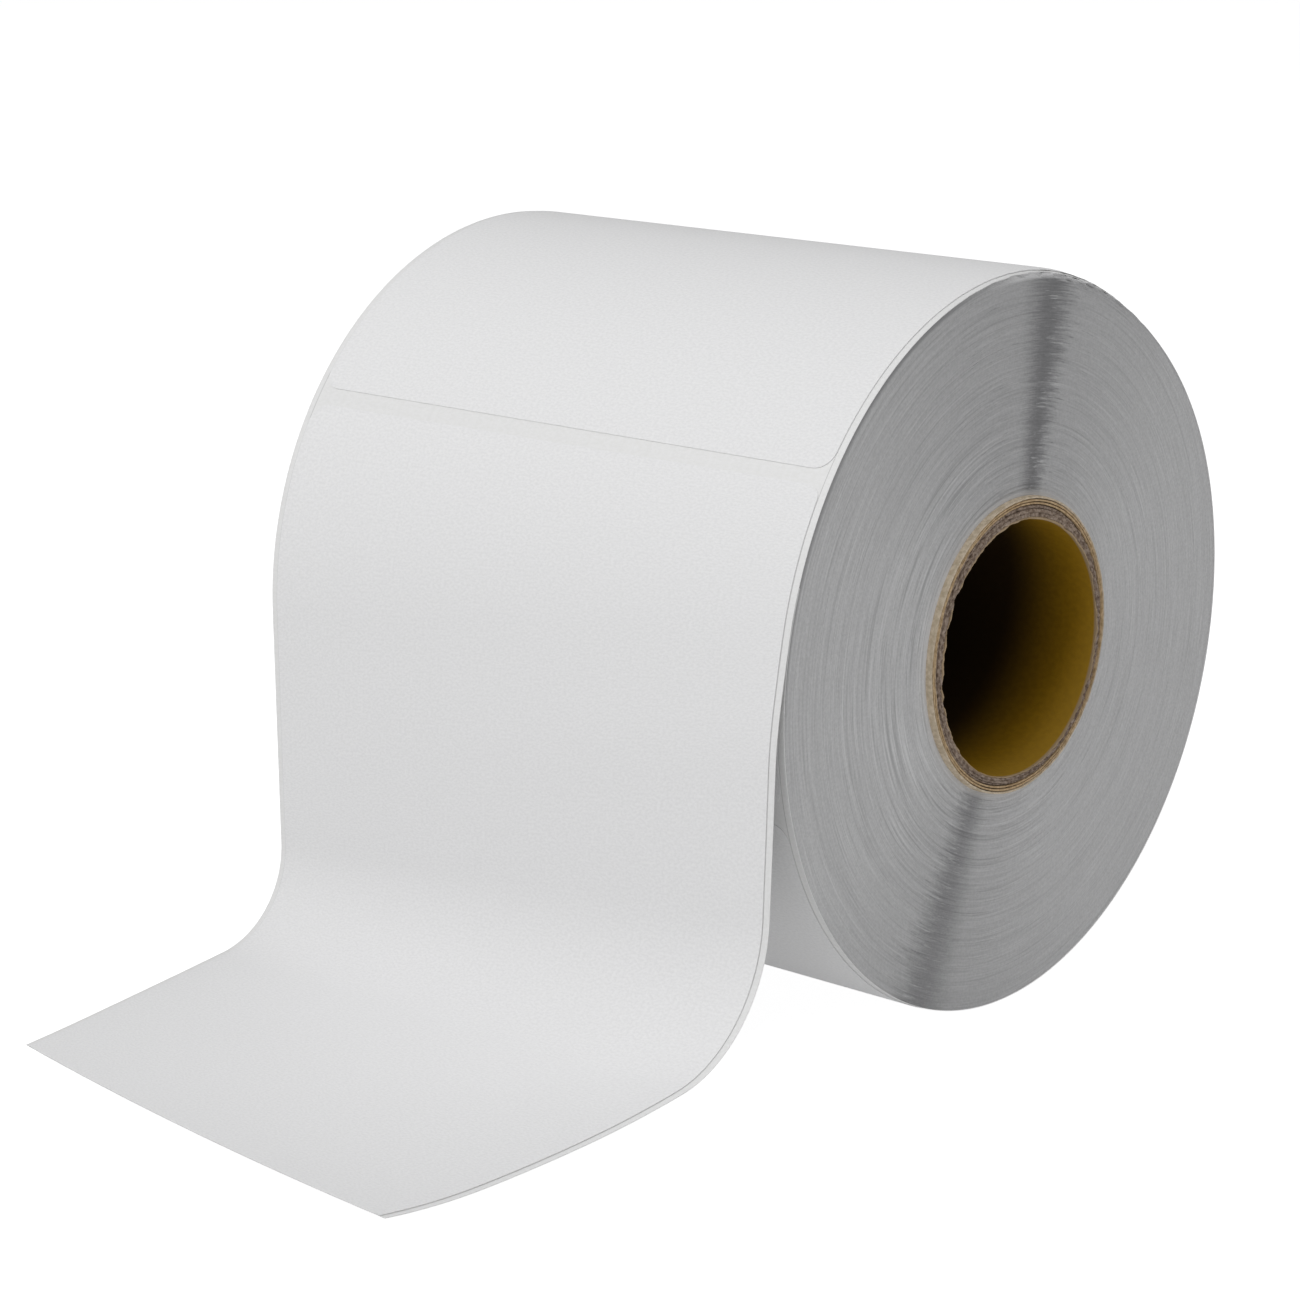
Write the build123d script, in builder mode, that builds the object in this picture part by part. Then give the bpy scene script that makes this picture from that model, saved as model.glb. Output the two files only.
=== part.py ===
from build123d import *
import os
from collections import namedtuple
from math import cos, degrees, pi, radians, sin

# A roll of blank self-adhesive labels on a paperboard core, lying on its side with its free end
# hanging down the front and lying out on the table.
# X runs along the roll's axis, the free end is on the -Y side, Z is up, and the origin is the
# middle of the core's bore. All sizes are in millimetres and degrees.

# The web: a glassine liner that carries one row of die-cut labels
liner_width = 104.0
liner_thick = 0.09
adhesive_film = 0.02
label_width = 101.6
label_length = 152.4
label_gap = 3.0
label_corner = 3.0
label_thick = 0.09
label_low = liner_thick + adhesive_film
web_thick = label_low + label_thick

# The core: a spirally wound paperboard tube, one ring for each ply, cut a little longer than the
# liner is wide, so that it stands proud at both ends
core_length = 106.0
core_bore_radius = 20.0
inner_ply_thick = 0.3
board_ply_thick = 0.5
board_plies = 3
outer_ply_thick = 0.45
outer_plies = 3
core_radius = (core_bore_radius + inner_ply_thick + board_plies * board_ply_thick
               + outer_plies * outer_ply_thick)
start_tape_thick = 0.06
start_tape_angle = 60.0

# The wound roll. The bands of turns reach these radii, and each band's ends stand back a little
# from the liner's edge, because the turns have shifted along the core.
roll_radius = 57.5
band_radii = [28.0, 34.5, 42.0, 50.0]
band_set_backs = [0.1, 0.25, 0.0, 0.15, 0.05]

# The labels: the front one's upper end lies this far up the roll from the line where the web leaves
front_label_top = 34.5

# The free end: what its left and right edges do on the way down. A heading of 0 is straight down
# and one of 90 is straight forwards.
EdgeShape = namedtuple("EdgeShape", "drop lean bend_radius foot_start foot_end foot")
left_edge = EdgeShape(drop=39.0, lean=0.0, bend_radius=15.1, foot_start=84.5, foot_end=85.5, foot=39.0)
right_edge = EdgeShape(drop=32.2, lean=5.9, bend_radius=18.7, foot_start=83.0, foot_end=102.0, foot=62.0)

# Stations along the free end: 0 at the leaving line, 1 and 2 at the ends of the bend, 3 at the cut end
bend_middle = 1.5
peel_line = 2.24
tail_end = 3.0
hinge_gap = 0.4


def save(piece, name):
    """Name a finished piece and write it."""
    piece.part.label = name
    export_step(piece.part, f"parts/{name}.step")


def tube(inner, outer, width):
    """Tube about the roll's axis, centred on the origin."""
    with BuildSketch(Plane.YZ.offset(-width / 2)) as ring:
        Circle(outer)
        Circle(inner, mode=Mode.SUBTRACT)
    extrude(ring.sketch, amount=width)


def half_turns(start, end):
    """The half turns that a stretch of wound web runs through, with their centre, radius and angles.

    Distances run from the leaving line up over the top and on round. Each half turn is one half of
    the web's thickness smaller than the last, so its centre is on the axis or half a web behind it.
    """
    half = 0
    begun = 0.0
    while begun < end:
        radius = roll_radius - half * web_thick / 2
        first = max(start - begun, 0.0)
        last = min(end - begun, pi * radius)
        if first < last:
            centre = (half % 2) * web_thick / 2
            turned = 180.0 - 180.0 * half
            yield centre, radius, turned - degrees(last / radius), degrees((last - first) / radius)
        begun += pi * radius
        half += 1


def wound_strip(start, end, low, high, width):
    """Stretch of one layer of the wound web, between two heights above the liner's inner face."""
    with BuildSketch(Plane.YZ.offset(-width / 2)) as layer:
        for centre, radius, angle, size in half_turns(start, end):
            with BuildLine():
                inside = CenterArc((centre, 0), radius - web_thick + low, angle, size)
                outside = CenterArc((centre, 0), radius - web_thick + high, angle, size)
                Line(inside @ 0, outside @ 0)
                Line(inside @ 1, outside @ 1)
            make_face()
    extrude(layer.sketch, amount=width)


def label_corners():
    """The short upright edges at a label's corners, once its solid is made."""
    return edges().filter_by(lambda edge: abs(edge.length - label_thick) < label_thick / 10)


def edge_run(place, start, end, length):
    """Where a run of web ends whose heading turns evenly, and its point on the way there."""
    y, z = place
    if abs(end - start) < 1e-6:
        return y - length * sin(radians(start)), z - length * cos(radians(start))
    radius = length / radians(end - start)
    forwards = radius * (cos(radians(start)) - cos(radians(end)))
    down = radius * (sin(radians(end)) - sin(radians(start)))
    return y - forwards, z - down


def edge_point(edge, station):
    """Y, Z and heading of the web's inner face on one edge of the free end."""
    place = (-(roll_radius - web_thick), 0.0)
    turns = [edge.lean, edge.lean, edge.foot_start, edge.foot_end]
    bend = edge.bend_radius * radians(edge.foot_start - edge.lean)
    heading = edge.lean
    for number, length in enumerate([edge.drop, bend, edge.foot]):
        share = min(max(station - number, 0.0), 1.0)
        heading = turns[number] + share * (turns[number + 1] - turns[number])
        place = edge_run(place, turns[number], heading, share * length)
        if station <= number + 1:
            break
    return place[0], place[1], heading


def web_point(x, station, height):
    """Point of the free end at a height above the liner's inner face, on the line across the web."""
    share = x / liner_width + 0.5
    left = edge_point(left_edge, station)
    right = edge_point(right_edge, station)
    y, z, heading = [a + share * (b - a) for a, b in zip(left, right)]
    return y - height * cos(radians(heading)), z + height * sin(radians(heading))


def station_step(x, station, distance):
    """How far along in stations a distance along the web is, at one edge of it."""
    step = 0.01
    y1, z1 = web_point(x, station, 0.0)
    y2, z2 = web_point(x, abs(station - step), 0.0)
    return distance * step / ((y2 - y1) ** 2 + (z2 - z1) ** 2) ** 0.5


def free_strip(start, end, low, high, gap_before, gap_after):
    """Stretch of one layer of the free end, lofted straight across between the liner's two edges.

    Each edge bends evenly between two stations, so the strip is one loft for each such stretch.
    """
    breaks = [start, *[stop for stop in (1.0, 2.0, peel_line) if start < stop < end], end]
    for first, last in zip(breaks, breaks[1:]):
        ends = []
        for x in (-liner_width / 2, liner_width / 2):
            begin = first + (station_step(x, first, gap_before) if first == start else 0.0)
            finish = last - (station_step(x, last, gap_after) if last == end else 0.0)
            stations = (begin, (begin + finish) / 2, finish)
            with BuildSketch(Plane.YZ.offset(x)) as edge_profile:
                with BuildLine():
                    for height in (low, high):
                        points = [web_point(x, station, height) for station in stations]
                        if last <= 1.0:
                            Line(points[0], points[2])
                        else:
                            ThreePointArc(*points)
                    for station in (begin, finish):
                        Line(web_point(x, station, low), web_point(x, station, high))
                make_face()
            ends.append(edge_profile.sketch)
        loft(ends, ruled=True)


os.makedirs("parts", exist_ok=True)

# ---- Core: smooth inner ply, grey chipboard plies, tan outer plies ----

with BuildPart() as core_inner_ply:
    tube(core_bore_radius, core_bore_radius + inner_ply_thick, core_length)
save(core_inner_ply, "core_inner_ply")

for number in range(board_plies):
    ply_radius = core_bore_radius + inner_ply_thick + number * board_ply_thick
    with BuildPart() as core_board_ply:
        tube(ply_radius, ply_radius + board_ply_thick, core_length)
    save(core_board_ply, f"core_board_ply_{number + 1}")

for number in range(outer_plies):
    ply_radius = core_radius - (outer_plies - number) * outer_ply_thick
    with BuildPart() as core_outer_ply:
        tube(ply_radius, ply_radius + outer_ply_thick, core_length)
    save(core_outer_ply, f"core_outer_ply_{number + 1}")

# Strip of tape that holds the web's inner end to the core
with BuildPart() as core_start_tape:
    with BuildSketch(Plane.YZ.offset(-label_width / 2)):
        with BuildLine():
            inside = CenterArc((0, 0), core_radius, 0, start_tape_angle)
            outside = CenterArc((0, 0), core_radius + start_tape_thick, 0, start_tape_angle)
            Line(inside @ 0, outside @ 0)
            Line(inside @ 1, outside @ 1)
        make_face()
    extrude(amount=label_width)
save(core_start_tape, "core_start_tape")

# ---- Labels on the roll: the upper part of the front one, and the next three ----

pitch = label_length + label_gap
first_turn = pi * roll_radius + pi * (roll_radius - web_thick / 2)

with BuildPart() as front_label_on_roll:
    wound_strip(0.0, front_label_top, label_low, web_thick, label_width)
    fillet(label_corners().group_by(Axis.Z)[-1], radius=label_corner)
save(front_label_on_roll, "front_label_on_roll")

for number, name in enumerate(["top_label", "rear_label", "under_label"]):
    label_start = front_label_top + label_gap + number * pitch
    with BuildPart() as wound_label:
        wound_strip(label_start, label_start + label_length, label_low, web_thick, label_width)
        fillet(label_corners(), radius=label_corner)
    save(wound_label, name)
under_label = wound_label.part

# ---- Wound web: the outer turn's liner, and the turns under it in five bands ----

with BuildPart() as outer_turn_liner:
    wound_strip(0.0, first_turn, 0.0, liner_thick, liner_width)
save(outer_turn_liner, "outer_turn_liner")

for number, set_back in enumerate(band_set_backs):
    band_inner = core_radius if number == 0 else band_radii[number - 1]
    band_width = liner_width - 2 * set_back
    with BuildPart() as wound_band:
        if number < len(band_radii):
            tube(band_inner, band_radii[number], band_width)
        else:
            # The last band fills the outer turn, down to its step where the web dives under it
            with BuildSketch(Plane.YZ.offset(-band_width / 2)):
                for centre, radius, angle, size in half_turns(0.0, first_turn):
                    with BuildLine():
                        rim = CenterArc((centre, 0), radius - web_thick, angle, size)
                        Line(rim @ 1, rim @ 0)
                    make_face()
                Circle(band_inner, mode=Mode.SUBTRACT)
            extrude(amount=band_width)
            add(under_label, mode=Mode.SUBTRACT)
        if number == 0:
            add(core_start_tape.part, mode=Mode.SUBTRACT)
    save(wound_band, f"wound_turns_{number + 1}")

# ---- Free end: liner and front label, each in rigid stretches that meet at the hinge lines ----

half_gap = hinge_gap / 2
tail_reach = 4 * roll_radius + 4 * left_edge.foot

with BuildPart() as tail_liner_drop:
    free_strip(0.0, bend_middle, 0.0, liner_thick, hinge_gap, half_gap)
save(tail_liner_drop, "tail_liner_drop")

with BuildPart() as tail_liner_foot:
    free_strip(bend_middle, tail_end, 0.0, liner_thick, half_gap, 0.0)
save(tail_liner_foot, "tail_liner_foot")

with BuildPart() as front_label_drop:
    free_strip(0.0, bend_middle, label_low, web_thick, hinge_gap, half_gap)
    Box(label_width, tail_reach, tail_reach, mode=Mode.INTERSECT)
save(front_label_drop, "front_label_drop")

with BuildPart() as front_label_foot:
    free_strip(bend_middle, peel_line, label_low, web_thick, half_gap, half_gap)
    Box(label_width, tail_reach, tail_reach, mode=Mode.INTERSECT)
save(front_label_foot, "front_label_foot")

with BuildPart() as front_label_lead:
    free_strip(peel_line, tail_end, label_low, web_thick, half_gap, 0.0)
    Box(label_width, tail_reach, tail_reach, mode=Mode.INTERSECT)
save(front_label_lead, "front_label_lead")

for name, station, height in [
    ("leaving line", 0.0, liner_thick),
    ("bend", bend_middle, liner_thick),
    ("peel line", peel_line, liner_thick),
    ("cut end", tail_end, liner_thick),
]:
    ends = [web_point(x, station, height) for x in (-liner_width / 2, liner_width / 2)]
    print(name, [[round(value, 2) for value in end] for end in ends])
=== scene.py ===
# %% [markdown]
# # A roll of blank labels
# A label roll is one strip of glassine paper, the liner, wound about 170 times round a paperboard
# core, with die-cut labels stuck on it in a row. Here it lies on its side. The last label and its
# liner hang down the front and lie out on the table.
#
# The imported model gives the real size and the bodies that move. This script gives every piece its
# finish, and rebuilds the thin ones as smooth sheets, in the same frame and in metres.

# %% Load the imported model
import math

import bmesh
import bpy
from mathutils import Matrix, Vector, noise


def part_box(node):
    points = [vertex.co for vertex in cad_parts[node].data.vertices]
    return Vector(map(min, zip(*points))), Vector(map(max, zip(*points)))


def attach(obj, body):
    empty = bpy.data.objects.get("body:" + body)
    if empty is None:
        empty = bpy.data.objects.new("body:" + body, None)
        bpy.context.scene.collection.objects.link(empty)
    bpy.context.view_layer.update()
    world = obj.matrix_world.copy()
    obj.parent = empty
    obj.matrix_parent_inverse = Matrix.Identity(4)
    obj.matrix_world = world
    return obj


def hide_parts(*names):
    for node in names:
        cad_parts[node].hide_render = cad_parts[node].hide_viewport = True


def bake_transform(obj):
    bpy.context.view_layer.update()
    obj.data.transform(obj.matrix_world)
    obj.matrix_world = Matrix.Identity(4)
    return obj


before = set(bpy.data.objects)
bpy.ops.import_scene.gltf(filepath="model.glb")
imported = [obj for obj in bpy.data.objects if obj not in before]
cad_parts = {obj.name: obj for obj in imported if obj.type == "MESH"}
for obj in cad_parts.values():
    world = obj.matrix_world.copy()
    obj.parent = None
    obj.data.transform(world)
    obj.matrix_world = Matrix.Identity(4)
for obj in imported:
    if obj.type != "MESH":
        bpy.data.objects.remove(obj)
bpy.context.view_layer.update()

MM = 0.001
print("nodes:", len(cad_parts))

# %% [markdown]
# ## Sizes
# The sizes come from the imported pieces. A tessellated circle's box is a little too small, because
# its corners need not point along an axis, so a radius is read as the greatest distance of any
# corner from the roll's axis, which is the X axis.


# %% Sizes read from the model
def reach(node):
    """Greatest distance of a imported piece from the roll's axis."""
    return max(math.hypot(v.co.y, v.co.z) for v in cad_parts[node].data.vertices)


def inner_reach(node):
    """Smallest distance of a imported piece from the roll's axis."""
    return min(math.hypot(v.co.y, v.co.z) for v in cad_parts[node].data.vertices)


roll_radius = reach("top_label")
web_thick = roll_radius - reach("wound_turns_5")
liner_thick = reach("outer_turn_liner") - reach("wound_turns_5")
label_low = inner_reach("top_label") - reach("wound_turns_5")
liner_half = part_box("outer_turn_liner")[1].x
label_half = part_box("top_label")[1].x
floor_height = min(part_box("rear_label")[0].z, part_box("tail_liner_foot")[0].z)
print(f"roll {2 * roll_radius / MM:.1f} mm across, {2 * liner_half / MM:.1f} mm wide")
print(f"web {web_thick / MM:.3f} mm thick, liner {liner_thick / MM:.3f} mm")

# %% [markdown]
# ## Camera
# The camera looks from the roll's front right, a little above it, with a long lens, as a catalogue
# picture is taken.

# %% Camera
CAMERA_TARGET = Vector((-11.0, -12.6, -8.9)) * MM
CAMERA_AZIMUTH = math.radians(40.61)
CAMERA_ELEVATION = math.radians(15.21)
CAMERA_ROLL = math.radians(-0.43)
CAMERA_DISTANCE = 561.5 * MM
CAMERA_LENS = 95.64


def add_object(name, data):
    """New object in the scene."""
    made = bpy.data.objects.new(name, data)
    bpy.context.scene.collection.objects.link(made)
    return made


def add_camera():
    """Camera on a sphere about its target, turned a little about its own line of sight."""
    level = math.cos(CAMERA_ELEVATION)
    back = Vector((level * math.sin(CAMERA_AZIMUTH), -level * math.cos(CAMERA_AZIMUTH),
                   math.sin(CAMERA_ELEVATION)))
    data = bpy.data.cameras.new("camera")
    data.lens = CAMERA_LENS
    data.clip_start = 10 * MM
    camera = add_object("camera", data)
    turn = (-back).to_track_quat("-Z", "Y").to_matrix() @ Matrix.Rotation(CAMERA_ROLL, 3, "Z")
    camera.matrix_world = Matrix.LocRotScale(CAMERA_TARGET + back * CAMERA_DISTANCE, turn, None)
    bpy.context.scene.camera = camera
    return camera


print("camera at", [round(x, 3) for x in add_camera().location])

# %% [markdown]
# ## Lamps
# Soft light comes from area lamps: a wide lamp close to a thing wraps round it and leaves no hard
# edge. The main one is above the front left, so the roll's end, which faces the other way, stays a
# calm grey.

# %% Lamps
LAMP_REACH = 1.3
LAMPS = [  # name, azimuth and elevation in degrees, side in metres, power in watts
    ("key_lamp", -12, 49, 1.0, 9.8), ("side_lamp", 100, 40, 1.0, 3.1), ("top_lamp", 0, 88, 1.0, 1.3),
]


def add_lamp(name, azimuth, elevation, size, power):
    """Square area lamp that faces the origin, placed by its direction in degrees."""
    data = bpy.data.lights.new(name, "AREA")
    data.shape = "SQUARE"
    data.size = size
    data.energy = power
    turn, rise = math.radians(azimuth), math.radians(elevation)
    towards = Vector((math.sin(turn) * math.cos(rise), -math.cos(turn) * math.cos(rise), math.sin(rise)))
    lamp = add_object(name, data)
    facing = (-towards).to_track_quat("-Z", "Y")
    lamp.matrix_world = Matrix.LocRotScale(towards * LAMP_REACH, facing, None)
    return lamp


print("lamps:", [add_lamp(*lamp).name for lamp in LAMPS])

# %% [markdown]
# ## Helpers for node trees
# Every finish below is a small tree of nodes. These helpers add a node with its inputs set or wired
# in one call, so that a tree reads like a recipe. A value can be a number, or another node's output.


# %% Node helpers
def wire(tree, kind, inputs=(), **settings):
    """Add a node, set its properties, and set or link its inputs by name or number."""
    node = tree.nodes.new(kind)
    for key, value in settings.items():
        setattr(node, key, value)
    for key, value in dict(inputs).items():
        if isinstance(value, bpy.types.NodeSocket):
            tree.links.new(value, node.inputs[key])
        else:
            node.inputs[key].default_value = value
    return node


def calc(tree, operation, first, second=0.0, third=0.0):
    """A Math node's output."""
    kind = "ShaderNodeMath"
    return wire(tree, kind, {0: first, 1: second, 2: third}, operation=operation).outputs[0]


def ramp(tree, value, low, high, out_low=0.0, out_high=1.0):
    """A value mapped smoothly from one range to another, and held at its ends."""
    inputs = {"Value": value, "From Min": low, "From Max": high, "To Min": out_low, "To Max": out_high}
    return wire(tree, "ShaderNodeMapRange", inputs, interpolation_type="SMOOTHSTEP").outputs["Result"]


def mix_colour(tree, share, first, second):
    """Two colours mixed by a share."""
    node = wire(tree, "ShaderNodeMix", {"Factor": share}, data_type="RGBA")
    for socket, value in ((node.inputs[6], first), (node.inputs[7], second)):
        if isinstance(value, bpy.types.NodeSocket):
            tree.links.new(value, socket)
        else:
            socket.default_value = (*value, 1.0)
    return node.outputs[2]


def new_group(name, inputs, outputs, kind="ShaderNodeTree"):
    """Empty node group with its inputs and outputs, ready to be wired."""
    tree = bpy.data.node_groups.new(name, kind)
    for socket, sort, default in inputs:
        made = tree.interface.new_socket(socket, in_out="INPUT", socket_type=f"NodeSocket{sort}")
        if default is not None:
            made.default_value = default
    for socket, sort in outputs:
        tree.interface.new_socket(socket, in_out="OUTPUT", socket_type=f"NodeSocket{sort}")
    return tree, tree.nodes.new("NodeGroupInput").outputs, tree.nodes.new("NodeGroupOutput").inputs


print("helpers: wire, calc, ramp, mix_colour, new_group")

# %% [markdown]
# ## Shared effects
# Paper has a grain: short fibres that show as faint mottling, in colour and in relief. The same
# effect serves the labels, the liner and the core, with its own scale and strength on each, so it is
# a node group. A second group turns a place on the roll into polar coordinates, because everything
# that is wound varies with its distance from the axis and its direction from it.


# %% Paper grain, a shared node group
def paper_grain_group():
    """Mottling from two sizes of noise. Place is in metres and Size is the larger clump's size."""
    tree, inp, out = new_group(
        "paper_grain",
        [("Place", "Vector", None), ("Size", "Float", 0.001), ("Stretch", "Float", 1.0)],
        [("Mottle", "Float"), ("Relief", "Float")],
    )
    stretched = wire(tree, "ShaderNodeCombineXYZ", {"X": inp["Stretch"], "Y": 1.0, "Z": 1.0})
    place = wire(tree, "ShaderNodeVectorMath", {0: inp["Place"], 1: stretched.outputs[0]},
                 operation="MULTIPLY")
    scale = calc(tree, "DIVIDE", 1.0, inp["Size"])
    fine = calc(tree, "MULTIPLY", scale, 5.0)
    clumps = wire(tree, "ShaderNodeTexNoise",
                  {"Vector": place.outputs[0], "Scale": scale, "Detail": 3.0, "Roughness": 0.6})
    fibres = wire(tree, "ShaderNodeTexNoise",
                  {"Vector": place.outputs[0], "Scale": fine, "Detail": 2.0, "Distortion": 0.6})
    tree.links.new(clumps.outputs["Fac"], out["Mottle"])
    tree.links.new(calc(tree, "ADD", clumps.outputs["Fac"], fibres.outputs["Fac"]), out["Relief"])
    return tree


def polar_group():
    """Distance from the X axis and direction about it, in turns from straight up, back positive."""
    tree, inp, out = new_group("polar_place", [("Place", "Vector", None)],
                               [("Radius", "Float"), ("Turn", "Float"), ("Around", "Vector")])
    split = wire(tree, "ShaderNodeSeparateXYZ", {0: inp["Place"]}).outputs
    square = calc(tree, "ADD", calc(tree, "MULTIPLY", split["Y"], split["Y"]),
                  calc(tree, "MULTIPLY", split["Z"], split["Z"]))
    radius = calc(tree, "SQRT", square)
    turn = calc(tree, "DIVIDE", calc(tree, "ARCTAN2", split["Y"], split["Z"]), 2 * math.pi)
    around = wire(tree, "ShaderNodeCombineXYZ",
                  {"X": calc(tree, "DIVIDE", split["Y"], radius),
                   "Y": calc(tree, "DIVIDE", split["Z"], radius), "Z": radius})
    tree.links.new(radius, out["Radius"])
    tree.links.new(turn, out["Turn"])
    tree.links.new(around.outputs[0], out["Around"])
    return tree


paper_grain = paper_grain_group()
polar_place = polar_group()
print("groups:", paper_grain.name, polar_place.name)


# %% [markdown]
# ## Materials start the same way
# Every finish is a Principled BSDF. The values that are the same all over, roughness and specular
# level, go straight on its sockets. What changes over the surface is made by nodes and linked.

# %% Starting a material
def new_finish(name, roughness, specular):
    """Material with a Principled BSDF whose even values sit on its own sockets."""
    finish = bpy.data.materials.new(name)
    finish.use_nodes = True
    shader = finish.node_tree.nodes["Principled BSDF"]
    shader.inputs["Roughness"].default_value = roughness
    shader.inputs["Specular IOR Level"].default_value = specular
    return finish, finish.node_tree, shader


def use_group(tree, group, **inputs):
    """A shared node group placed in a tree."""
    return wire(tree, "ShaderNodeGroup", inputs, node_tree=group).outputs


def bump(tree, shader, height, strength, depth):
    """Relief on a shader's normal. Depth is in metres."""
    node = wire(tree, "ShaderNodeBump", {"Height": height, "Strength": strength, "Distance": depth})
    tree.links.new(node.outputs[0], shader.inputs["Normal"])


print("helpers: new_finish, use_group, bump")

# %% [markdown]
# ## Floor and surroundings
# The floor lies at the height of the roll's lowest point. It glows faintly, and more strongly where
# the camera sees it directly, so that it looks white without lighting the roll from below too much.
# The even white world fills in what the lamps leave dark.

# %% Floor and surroundings
FLOOR_SIZE = 12.0
FLOOR_GREY = 0.62
FLOOR_GLOW = 0.25
FLOOR_SEEN_GLOW = 0.554
WORLD_LIGHT = 0.265


def add_floor():
    """Wide pale floor at the height that the roll and its free end lie on."""
    mesh = bpy.data.meshes.new("floor")
    half = FLOOR_SIZE / 2
    corners = [(-half, -half), (half, -half), (half, half), (-half, half)]
    mesh.from_pydata([(x, y, floor_height) for x, y in corners], [], [(0, 1, 2, 3)])
    finish, tree, shader = new_finish("floor_paint", 0.9, 0.1)
    shader.inputs["Base Color"].default_value = (FLOOR_GREY, FLOOR_GREY, FLOOR_GREY, 1)
    shader.inputs["Emission Color"].default_value = (1, 1, 1, 1)
    seen = wire(tree, "ShaderNodeLightPath").outputs["Is Camera Ray"]
    glow = calc(tree, "MULTIPLY_ADD", seen, FLOOR_SEEN_GLOW, FLOOR_GLOW)
    tree.links.new(glow, shader.inputs["Emission Strength"])
    mesh.materials.append(finish)
    add_object("floor", mesh)


def add_world():
    """Even white surroundings."""
    world = bpy.data.worlds.new("white_room")
    world.use_nodes = True
    world.node_tree.nodes["Background"].inputs["Color"].default_value = (1, 1, 1, 1)
    world.node_tree.nodes["Background"].inputs["Strength"].default_value = WORLD_LIGHT
    bpy.context.scene.world = world


add_world()
add_floor()
bpy.context.scene.view_settings.view_transform = "Standard"
print(f"floor at {floor_height / MM:.2f} mm")

# %% [markdown]
# ## Label paper, liner and adhesive
# The labels are a smooth coated paper, almost white and nearly matt. The liner is glassine: paper
# pressed until it is slightly glossy and a little greyer. Both read their place from the sheet's own
# UV map, laid out in metres, so the grain stays on the paper when the free end moves. The back of a
# label is glossier and a touch yellow, which is its adhesive. A thin dark line in the liner, right
# beside the labels, is the die's cut with painted shade from the label's edge.


# %% Sheet finishes
DIE_LINE_SHADE_WIDTH = 0.16 * MM
DIE_LINE_SHADE_COLOUR = (0.36, 0.36, 0.355)


def sheet_finish(name, light, dark, roughness, specular, grain_size, relief, die_line_shade=False):
    """Paper with faint mottling in its colour and fine relief."""
    finish, tree, shader = new_finish(name, roughness, specular)
    uv = wire(tree, "ShaderNodeUVMap", uv_map="sheet").outputs[0]
    grain = use_group(tree, paper_grain, Place=uv, Size=grain_size, Stretch=0.6)
    share = ramp(tree, grain["Mottle"], 0.3, 0.7)
    colour = mix_colour(tree, share, dark, light)
    if die_line_shade:
        # Painted shade along the label's edge, on the liner where the die cut it
        across = calc(tree, "ABSOLUTE", wire(tree, "ShaderNodeSeparateXYZ", {0: uv}).outputs["X"])
        middle = label_half + DIE_LINE_SHADE_WIDTH / 2
        off = calc(tree, "ABSOLUTE", calc(tree, "SUBTRACT", across, middle))
        line = ramp(tree, off, 0.3 * DIE_LINE_SHADE_WIDTH, 0.6 * DIE_LINE_SHADE_WIDTH, 0.5, 0.0)
        colour = mix_colour(tree, line, colour, DIE_LINE_SHADE_COLOUR)
    tree.links.new(colour, shader.inputs["Base Color"])
    bump(tree, shader, grain["Relief"], 0.25, relief)
    return finish


label_paper = sheet_finish("label_paper", (0.84, 0.84, 0.845), (0.77, 0.77, 0.775), 0.6, 0.3,
                           0.35 * MM, 0.015 * MM)
liner_glassine = sheet_finish("liner_glassine", (0.81, 0.81, 0.81), (0.77, 0.77, 0.765), 0.42, 0.4,
                              0.5 * MM, 0.01 * MM, die_line_shade=True)
adhesive_back = sheet_finish("adhesive_back", (0.78, 0.77, 0.715), (0.755, 0.745, 0.685), 0.3, 0.5,
                             1.6 * MM, 0.01 * MM)
print("sheet finishes:", label_paper.name, liner_glassine.name, adhesive_back.name)

# %% [markdown]
# ## The wound edge
# From the end, the roll shows the cut edges of about 170 turns of paper. Seen close, they are fine
# lines that run round the core, some of them a little proud and some sunk. The finish works in polar
# coordinates: noise that changes fast with the radius and slowly round the roll gives lines that
# come and go. The turns' own relief, which the mesh stores as the attribute "lift", sets painted
# shade on the sunk ones. Pressed paper edges also shine across their lines, which leaves two dark
# sectors; these are painted shade in the colour.

# %% Lines that follow the winding
# Sectors of painted shade on the wound edge
SHADE_SECTORS = [  # direction, half width and darkness, then the same for its soft surroundings, in turns
    (8 / 360, 9 / 360, 0.46, 0.0, 78 / 360, 0.25),
    (-155 / 360, 10.5 / 360, 0.38, -157 / 360, 42 / 360, 0.18),
]


def arcs(tree, polar, along, across, detail):
    """Noise drawn out along the winding: along is its size in turns, across in metres."""
    round_scale = 1 / (2 * math.pi * along)
    place = wire(tree, "ShaderNodeVectorMath",
                 {0: polar["Around"], 1: (round_scale, round_scale, 1 / across)}, operation="MULTIPLY")
    return wire(tree, "ShaderNodeTexNoise", {"Vector": place.outputs[0], "Scale": 1.0,
                                             "Detail": detail, "Roughness": 0.7}).outputs["Fac"]


def away(tree, turn, centre):
    """Signed difference of a direction from a centre, in turns, the short way round."""
    return calc(tree, "SUBTRACT", calc(tree, "FRACT", calc(tree, "ADD", turn, 1.5 - centre)), 0.5)


print("sectors at", [round(row[0] * 360) for row in SHADE_SECTORS], "degrees from straight up")
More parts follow.
